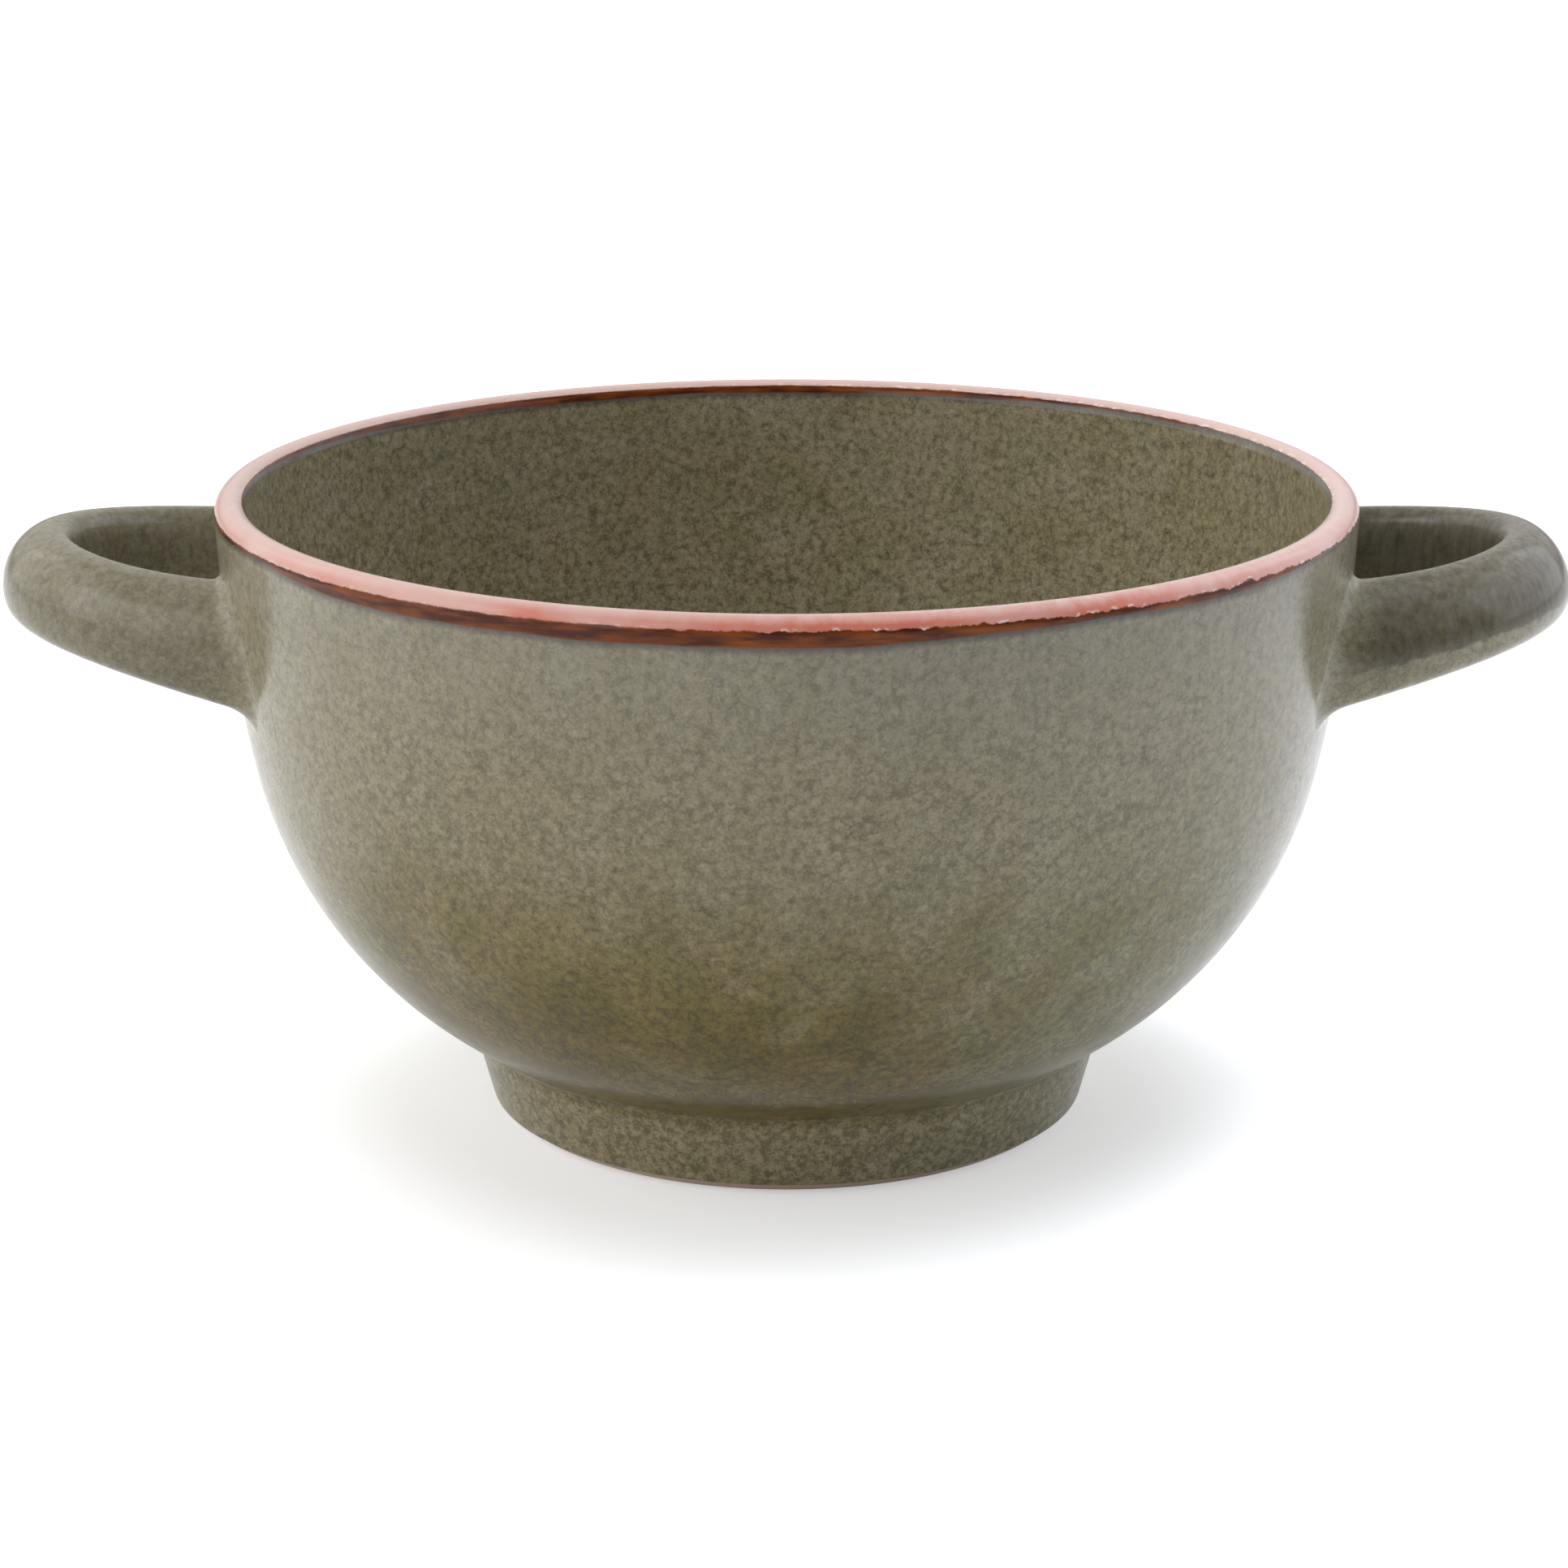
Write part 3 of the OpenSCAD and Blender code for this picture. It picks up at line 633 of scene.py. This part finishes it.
def glaze_material(name, tones, traits):
    """Reactive stoneware glaze, fired glossy: pale flecks of about 1 mm, fine dark veins and soft clouds of ochre
    and moss. At the rim it runs through a grey violet halo and a dark iron band into the pink of the lip.
    Every piece near the rim carries the same bands, so that their ragged edges meet."""
    size = bpy.context.scene.lug_bowl_sizes
    hue = bpy.context.scene.lug_bowl_colours
    cloud_top, cloud_foot, runs, ior = traits
    material, tree = new_material(name)
    at = whereabouts(tree, size)
    breaks = add(tree, "TexNoise", {"Vector": at.place, "Scale": per_mm(1.5), "Detail": 3.0})
    veined = flecks_and_veins(tree, at, tones, hue.vein, cloud_foot, breaks)
    clouded = clouds(tree, at, hue, veined, cloud_top, cloud_foot)
    # Painted shade on the handles, and a painted dark reflection on the right handle's upper face
    handle_shaded = painted_handle_shade(tree, at, hue, size, clouded)
    streaked = grey_runs(tree, at, hue, handle_shaded, runs)

    edges = band_edges(tree, at, size)
    coat = streaked
    for inside, shade in (
            (edges.halo, hue.halo), (edges.iron, iron_streaks(tree, at, hue)),
            (edges.lip, beaded_lip(tree, at, hue, edges))):
        coat = add(tree, "Mix", {"Factor_Float": inside, "A_Color": coat, "B_Color": shade}, data_type="RGBA")

    # The fired surface: a faint orange peel of about 4 mm, and a lip edge that stands proud by hundredths of a mm
    peel = add(tree, "TexNoise", {"Vector": at.place, "Scale": per_mm(4), "Detail": 1.0})
    raised = add(tree, "Math", {
        "Value": edges.lip, "Value_001": LIP_RISE, "Value_002": peel}, operation="MULTIPLY_ADD")
    bump = add(tree, "Bump", {"Height": raised, "Strength": 0.5, "Distance": PEEL_DEPTH})
    gloss = add(tree, "MapRange", {
        "Value": breaks, "From Min": 0.3, "From Max": 0.7, "To Min": GLOSS[0], "To Max": GLOSS[1]})
    shader = add(tree, "BsdfPrincipled", {"Base Color": coat, "Roughness": gloss, "Normal": bump, "IOR": ior})
    add(tree, "OutputMaterial", {"Surface": shader})
    return material


def clay_material(name, body, grain_colour):
    """Fired stoneware clay, turned and left bare: matt, brown, with coarse grains of about half a millimetre."""
    material, tree = new_material(name)
    place = add(tree, "TexCoord").outputs["Object"]

    # Patches of 7 mm that the fire left darker, with fewer grains to see
    patch = add(tree, "TexNoise", {"Vector": place, "Scale": per_mm(7), "Detail": 4.0})
    grit = add(tree, "TexNoise", {"Vector": place, "Scale": per_mm(0.5), "Detail": 3.0})
    speck = add(tree, "MapRange", {"Value": grit, "From Min": 0.52, "From Max": 0.66, "To Max": 0.7})
    toned = add(tree, "HueSaturation", {"Value": patch, "Color": body})
    dotted = add(tree, "Mix", {
        "Factor_Float": speck, "A_Color": body, "B_Color": grain_colour}, data_type="RGBA")
    shade = add(tree, "Mix", {"Factor_Float": patch, "A_Color": toned, "B_Color": dotted}, data_type="RGBA")
    bump = add(tree, "Bump", {"Height": grit, "Strength": 0.6, "Distance": 0.0001})
    rough = add(tree, "MapRange", {"Value": grit, "To Min": 0.65, "To Max": 0.9})
    shader = add(tree, "BsdfPrincipled", {"Base Color": shade, "Roughness": rough, "Normal": bump, "IOR": 1.5})
    add(tree, "OutputMaterial", {"Surface": shader})
    return material


def slot_material(slot):
    """The material of a slot, made when the first piece asks for it."""
    hue = bpy.context.scene.lug_bowl_colours
    olive = (hue.dark, hue.olive, hue.pale)
    liner = (hue.liner_dark, hue.liner, hue.liner_pale)
    name, make, *traits = {
        # Bare fired clay, matt and grainy
        "stoneware_clay": ("stoneware_clay", clay_material, hue.clay, hue.grog),
        # Fired slip, paler than the clay
        "luting_slip": ("luting_slip", clay_material, hue.slip, hue.grog),
        # Glossy and mottled, cloudy towards the foot
        "olive_glaze": ("olive_reactive_glaze", glaze_material, olive, OLIVE_TRAITS),
        # More even than the outside's, with fainter runs, and painted lighter than it for light the inside lacks
        "liner_glaze": ("olive_liner_glaze", glaze_material, liner, LINER_TRAITS),
        # Pale, with coral patches and beads
        "lip_glaze": ("pink_lip_glaze", glaze_material, olive, LIP_TRAITS),
        # Dark brown with amber streaks, and less shine
        "iron_glaze": ("iron_brown_glaze", glaze_material, olive, IRON_TRAITS),
    }[slot]
    return bpy.data.materials.get(name) or make(name, *traits)


class LUGBOWL_OT_clay(bpy.types.Operator):
    """Turns the bare foot ring and gives the clay and slip under the glaze their finish"""

    bl_idname = "lugbowl.clay"
    bl_label = "Clay and bare foot"

    def execute(self, context):
        size = context.scene.lug_bowl_sizes
        shape = bowl_shape(size)
        bm = bmesh.new()
        first = bm.verts.new(shape.outer.corner)
        vert = pull(bm, first, shape.outer.edge + shape.outer.rounding * shape.outer.away)
        vert = bend(bm, vert, shape.outer.edge, Vector((0, 0, -1)))
        vert = pull(bm, vert, Vector((shape.inner.edge.x, 0, 0)))
        vert = bend(bm, vert, shape.inner.edge, shape.inner.away)
        vert = pull(bm, vert, shape.inner.corner)
        bm.edges.new((vert, first))
        turn_round(bm, Vector((shape.inner.edge.x, 0, 0)), Vector((0, 0, -1)))
        finish_piece(bm, "bare_foot_ring", "stoneware_clay", "foot_ring")
        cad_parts["bowl_body"].data.materials[0] = slot_material("stoneware_clay")
        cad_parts["foot_slip"].data.materials[0] = slot_material("luting_slip")
        return {"FINISHED"}


class LUGBOWL_OT_outside(bpy.types.Operator):
    """Makes the olive glaze on the outside and under the bowl"""

    bl_idname = "lugbowl.outside"
    bl_label = "Outside glaze"

    def execute(self, context):
        size = context.scene.lug_bowl_sizes
        shape = bowl_shape(size)
        start = level(lean_at(size, 1, size.lip_outside + size.iron_outside))
        bm = bmesh.new()
        vert = bm.verts.new(shape.upper + size.upper_radius * start)
        top = vert.co.copy()
        vert = bend(bm, vert, shape.upper, level(size.belly_lean), WALL_STEP)
        vert = bend(bm, vert, shape.belly, shape.outer.cove - shape.belly, WALL_STEP)
        foot_line(bm, vert, size, shape.outer)
        turn_coat(bm, size, top, start)
        finish_piece(bm, "outside_glaze", "olive_glaze", "outer_glaze")

        bm = bmesh.new()
        vert = bm.verts.new((0, 0, size.foot_clearance))
        vert = pull(bm, vert, Vector((shape.belly.x, 0, size.foot_clearance)))
        vert = bend(bm, vert, shape.belly, shape.inner.cove - shape.belly, WALL_STEP)
        foot_line(bm, vert, size, shape.inner)
        turn_coat(bm, size, Vector((0, 0, size.foot_clearance)), Vector((0, 0, -1)))
        finish_piece(bm, "underside_glaze", "olive_glaze", "base_glaze")
        return {"FINISHED"}


class LUGBOWL_OT_inside(bpy.types.Operator):
    """Makes the glaze that lines the inside"""

    bl_idname = "lugbowl.inside"
    bl_label = "Inside glaze"

    def execute(self, context):
        size = context.scene.lug_bowl_sizes
        shape = bowl_shape(size)
        drop = size.lip_inside + size.iron_inside
        floor = size.foot_clearance + size.wall
        bm = bmesh.new()
        vert = bm.verts.new(shape.lip + size.wall / 2 * lip_direction(size, -1, drop))
        top = vert.co.copy()
        vert = bend(bm, vert, shape.lip, -level(size.rim_lean))
        vert = bend(bm, vert, shape.upper, level(size.belly_lean), WALL_STEP)
        vert = bend(bm, vert, shape.belly, Vector((0, 0, -1)), WALL_STEP)
        pull(bm, vert, Vector((0, 0, floor)))
        turn_coat(bm, size, top, -level(lean_at(size, -1, drop)))
        finish_piece(bm, "inside_glaze", "liner_glaze", "inner_glaze")
        return {"FINISHED"}


class LUGBOWL_OT_rim(bpy.types.Operator):
    """Makes the pale lip and the iron bands below it"""

    bl_idname = "lugbowl.rim"
    bl_label = "Lip and iron bands"

    def execute(self, context):
        size = context.scene.lug_bowl_sizes
        shape = bowl_shape(size)
        half = size.wall / 2

        bm = bmesh.new()
        vert = bm.verts.new(shape.lip + half * lip_direction(size, 1, size.lip_outside))
        vert = bend(bm, vert, shape.lip, Vector((0, 0, 1)))
        bend(bm, vert, shape.lip, lip_direction(size, -1, size.lip_inside))
        turn_coat(bm, size, shape.lip + Vector((0, 0, half)), Vector((0, 0, 1)))
        finish_piece(bm, "lip_band", "lip_glaze", "rim_band")

        bm = bmesh.new()
        start = lip_direction(size, 1, size.lip_outside)
        vert = bm.verts.new(shape.lip + half * start)
        vert = bend(bm, vert, shape.lip, level(size.rim_lean))
        bend(bm, vert, shape.upper, level(lean_at(size, 1, size.lip_outside + size.iron_outside)), WALL_STEP)
        turn_coat(bm, size, shape.lip + half * start, start)
        finish_piece(bm, "outside_iron_band", "iron_glaze", "outer_iron_band")

        bm = bmesh.new()
        start = lip_direction(size, -1, size.lip_inside)
        vert = bm.verts.new(shape.lip + half * start)
        bend(bm, vert, shape.lip, lip_direction(size, -1, size.lip_inside + size.iron_inside))
        turn_coat(bm, size, shape.lip + half * start, start)
        finish_piece(bm, "inside_iron_band", "iron_glaze", "inner_iron_band")
        return {"FINISHED"}


def squared(share, middle, corner):
    """Way from a middle to an end at 1 or -1, for a sine or cosine, squared off towards an oblong."""
    return middle + (math.copysign(1, share) - middle) * abs(share) ** (2 / corner)


def strap_point(size, hand, depth, along, around):
    """Point a depth below a strap's surface: angle round the loop from its tip, angle round the section."""
    outer_corner, widest = hand
    back = size.loop * (1 - math.cos(along))
    normal = Vector((size.arm_half * math.cos(along), size.loop * math.sin(along))).normalized()
    up, out = math.sin(around), math.cos(around)
    crest, gap_corner = (
        front + (rear - front) * (1 + math.sin(along)) / 2 for front, rear in (CREST, GAP_CORNER))
    corner = LOWER_CORNER if up < 0 else outer_corner if out > 0 else gap_corner
    half_height = size.strap_height / 2 * (1 + size.strap_flare * (back / size.loop) ** 2) - depth
    swell = TIP_SWELL * max(0, math.cos(along)) ** 4 if out < 0 else 0
    rise = half_height * squared(up, widest, corner)
    side = (size.strap / 2 - depth) * squared(out, crest if up > 0 else 0, corner) * (1 + swell)
    x = normal.x * side - back
    return Vector((
        size.tip - size.strap / 2 + x * math.cos(size.handle_tilt)
        - (rise - half_height * widest) * math.sin(size.handle_tilt),
        size.arm_half * math.sin(along) + normal.y * side,
        size.handle_height + x * math.sin(size.handle_tilt) + rise * math.cos(size.handle_tilt)))


def wall_radius(size, shape, z, depth):
    """Radius of the wall at a height, a depth below its glazed outside."""
    if z > shape.belly_top.z:
        return shape.upper.x + math.sqrt((size.upper_radius - depth) ** 2 - (z - shape.upper.z) ** 2)
    return shape.belly.x + math.sqrt((shape.belly_radius - depth) ** 2 - (z - shape.belly.z) ** 2)


def on_wall(size, shape, point, depth):
    """The point moved along X on to the wall."""
    radius = wall_radius(size, shape, point.z, depth)
    return Vector((math.sqrt(radius ** 2 - point.y ** 2), point.y, point.z))


def root_angle(size, shape, hand, depth, around):
    """Angle round the loop at which a line along the strap goes into the wall."""
    low, high = CLEAR_ANGLE, BURIED_ANGLE
    for _ in range(HALVINGS):
        middle = (low + high) / 2
        point = strap_point(size, hand, depth, middle, around)
        if point.xy.length > wall_radius(size, shape, point.z, depth):
            low = middle
        else:
            high = middle
    return low


def bare_line(size, shape, hand, around):
    """Gives the points of one line along the clay strap, from -1 at one root to 1 at the other."""
    root = root_angle(size, shape, hand, size.glaze, around)
    return lambda share: strap_point(size, hand, size.glaze, root * share, around)


def handle_line(size, shape, hand, depth, around):
    """Gives the points of one line along the strap, from -1 where a fillet runs out to 1 where the other does."""
    root = root_angle(size, shape, hand, depth, around)
    leave = root - size.fillet / size.loop

    def point(share):
        arm = math.copysign(1, share)
        if abs(share) <= LOOP_SHARE:
            return strap_point(size, hand, depth, leave * share / LOOP_SHARE, around)
        start = strap_point(size, hand, depth, arm * leave, around)
        at_root = strap_point(size, hand, depth, arm * root, around)
        core = strap_point(size, hand, depth, arm * root, around + math.pi)
        end = on_wall(size, shape, at_root + size.fillet * (at_root - core).normalized(), depth + RUN_OUT)
        turn = on_wall(size, shape, at_root, depth + RUN_OUT)
        t = (abs(share) - LOOP_SHARE) / (1 - LOOP_SHARE)
        return (1 - t) ** 2 * start + 2 * t * (1 - t) * turn + t * t * end

    return point


def bend_grid(bm, lines, side, first, last, rings):
    """Adds a grid and bends it on to lines round the strap, from one share of their length to another."""
    made = bmesh.ops.create_grid(bm, x_segments=rings, y_segments=STRAP_SIDES, size=1)
    for vert in made["verts"]:
        k = round((vert.co.y + 1) / 2 * STRAP_SIDES) % STRAP_SIDES
        vert.co = lines[k](first + (last - first) * (vert.co.x + 1) / 2)
        vert.co.x *= side


class LUGBOWL_OT_handles(bpy.types.Operator):
    """Makes the two strap handles: clay strap, slip fillets and glaze coat"""

    bl_idname = "lugbowl.handles"
    bl_label = "Handles"

    def execute(self, context):
        size = context.scene.lug_bowl_sizes
        shape = bowl_shape(size)
        turns = [2 * math.pi * k / STRAP_SIDES for k in range(STRAP_SIDES)]
        for name, side, hand in (("left", -1, LEFT_HAND), ("right", 1, RIGHT_HAND)):
            tip, outward = Vector((side * size.tip, 0, size.handle_height)), Vector((side, 0, 0))

            bm = bmesh.new()
            lines = [handle_line(size, shape, hand, 0, turn) for turn in turns]
            bend_grid(bm, lines, side, -1, 1, LOOP_RINGS)
            face_out(bm, tip, outward)
            bmesh.ops.solidify(bm, geom=bm.faces[:], thickness=size.glaze)
            finish_piece(bm, f"{name}_handle_coat", "olive_glaze", f"{name}_handle_glaze")

            bm = bmesh.new()
            lines = [bare_line(size, shape, hand, turn) for turn in turns]
            bend_grid(bm, lines, side, -1, 1, LOOP_RINGS)
            bmesh.ops.remove_doubles(bm, verts=bm.verts[:], dist=MERGE_DISTANCE)
            bmesh.ops.holes_fill(bm, edges=[e for e in bm.edges if e.is_boundary])
            face_out(bm, tip, outward)
            finish_piece(bm, f"{name}_clay_strap", "stoneware_clay", f"{name}_handle")

            lines = [handle_line(size, shape, hand, size.glaze, turn) for turn in turns]
            for arm, face in ((-1, "front"), (1, "back")):
                bm = bmesh.new()
                bend_grid(bm, lines, side, arm * LOOP_SHARE, arm, FILLET_RINGS)
                face_out(bm, Vector((side * size.rim_radius, arm, size.handle_height)), Vector((0, arm, 0)))
                bmesh.ops.solidify(bm, geom=bm.faces[:], thickness=size.glaze)
                finish_piece(bm, f"{name}_{face}_fillet", "luting_slip", f"{name}_handle_slip")
        return {"FINISHED"}


class LUGBOWL_OT_stage(bpy.types.Operator):
    """Sets the pale floor, the soft light and the camera"""

    bl_idname = "lugbowl.stage"
    bl_label = "Stage"

    def execute(self, context):
        scene = context.scene
        bm = bmesh.new()
        bmesh.ops.create_grid(bm, x_segments=1, y_segments=1, size=FLOOR_HALF)
        mesh = bpy.data.meshes.new("floor")
        bm.to_mesh(mesh)
        bm.free()
        floor = bpy.data.objects.new("floor", mesh)
        scene.collection.objects.link(floor)

        # White card, with a soft shadow
        material, tree = new_material("white_card")
        place = add(tree, "TexCoord").outputs["Object"]
        away = add(tree, "VectorMath", {"Vector": place}, operation="LENGTH").outputs["Value"]
        lift = add(tree, "MapRange", {
            "Value": away, "From Min": GLOW_RISE[0], "From Max": GLOW_RISE[1],
            "To Min": FLOOR_GLOW[0], "To Max": FLOOR_GLOW[1]})
        card = add(tree, "BsdfPrincipled", {
            "Base Color": linear("#e0e0e0"), "Roughness": 0.9, "Specular IOR Level": 0.0,
            "Emission Strength": self.shown(tree, 0.0, lift)})
        add(tree, "OutputMaterial", {"Surface": card})
        mesh.materials.append(material)

        world = bpy.data.worlds.new("grey_room")
        world.use_nodes = True
        tree = world.node_tree
        tree.nodes.clear()
        room = add(tree, "Background", {"Color": (1, 1, 1, 1), "Strength": self.shown(tree, ROOM_LIGHT, 1.0)})
        add(tree, "OutputWorld", {"Surface": room})
        scene.world = world

        for name, place, aim, wide, tall, radiance, spread, shows, tint in LAMPS:
            light = bpy.data.lights.new(name, "AREA")
            light.shape = "RECTANGLE"
            light.size = wide
            light.size_y = tall
            light.spread = math.radians(spread)
            light.energy = radiance * math.pi * wide * tall
            light.color = linear(tint)[:3]
            lamp = bpy.data.objects.new(name, light)
            lamp.location = place
            lamp.rotation_euler = (Vector(aim) - Vector(place)).to_track_quat("-Z", "Y").to_euler()
            lamp.visible_camera = False
            lamp.visible_glossy = shows
            scene.collection.objects.link(lamp)

        camera = bpy.data.cameras.new("camera")
        camera.sensor_width = SENSOR_WIDTH
        camera.lens = SENSOR_WIDTH * FOCAL_LENGTH / IMAGE_SIDE
        camera.shift_x = IMAGE_SHIFT / IMAGE_SIDE
        camera.clip_start = 0.01
        viewer = bpy.data.objects.new("camera", camera)
        viewer.location = CAMERA_PLACE
        viewer.rotation_euler = (math.pi / 2 - CAMERA_PITCH, 0, 0)
        scene.collection.objects.link(viewer)
        scene.camera = viewer
        scene.view_settings.view_transform = "Standard"
        return {"FINISHED"}

    def shown(self, tree, plain, white):
        """Strength of a backdrop: white to the camera, dim where it is mirrored, plain as light."""
        path = add(tree, "LightPath")
        mirrored = add(tree, "Math", {
            "Value": path.outputs["Is Glossy Ray"], "Value_001": path.outputs["Is Transmission Ray"]},
            operation="MAXIMUM")
        dim = add(tree, "MapRange", {"Value": mirrored, "To Min": plain, "To Max": MIRRORED})
        return add(tree, "MapRange", {"Value": path.outputs["Is Camera Ray"], "To Min": dim, "To Max": white})


OPERATORS = (
    LUGBOWL_OT_clay, LUGBOWL_OT_outside, LUGBOWL_OT_inside, LUGBOWL_OT_rim, LUGBOWL_OT_handles, LUGBOWL_OT_stage)


class LUGBOWL_PT_sidebar(bpy.types.Panel):
    """Lists the bowl's pieces, sizes and colours"""

    bl_idname = "LUGBOWL_PT_sidebar"
    bl_label = "Lug soup bowl"
    bl_space_type = "VIEW_3D"
    bl_region_type = "UI"
    bl_category = "Lug bowl"

    def draw(self, context):
        for operator in OPERATORS:
            self.layout.operator(operator.bl_idname)
        for group in (context.scene.lug_bowl_sizes, context.scene.lug_bowl_colours):
            for name in group.bl_rna.properties.keys():
                if name not in ("rna_type", "name"):
                    self.layout.prop(group, name)


CLASSES = (LugBowlSizes, LugBowlColours, *OPERATORS, LUGBOWL_PT_sidebar)


def register():
    for cls in CLASSES:
        bpy.utils.register_class(cls)
    bpy.types.Scene.lug_bowl_sizes = PointerProperty(type=LugBowlSizes)
    bpy.types.Scene.lug_bowl_colours = PointerProperty(type=LugBowlColours)


def unregister():
    del bpy.types.Scene.lug_bowl_colours
    del bpy.types.Scene.lug_bowl_sizes
    for cls in reversed(CLASSES):
        bpy.utils.unregister_class(cls)


def main():
    register()
    bpy.ops.lugbowl.clay()
    bpy.ops.lugbowl.outside()
    bpy.ops.lugbowl.inside()
    bpy.ops.lugbowl.rim()
    bpy.ops.lugbowl.handles()
    bpy.ops.lugbowl.stage()


if __name__ == "__main__":
    main()
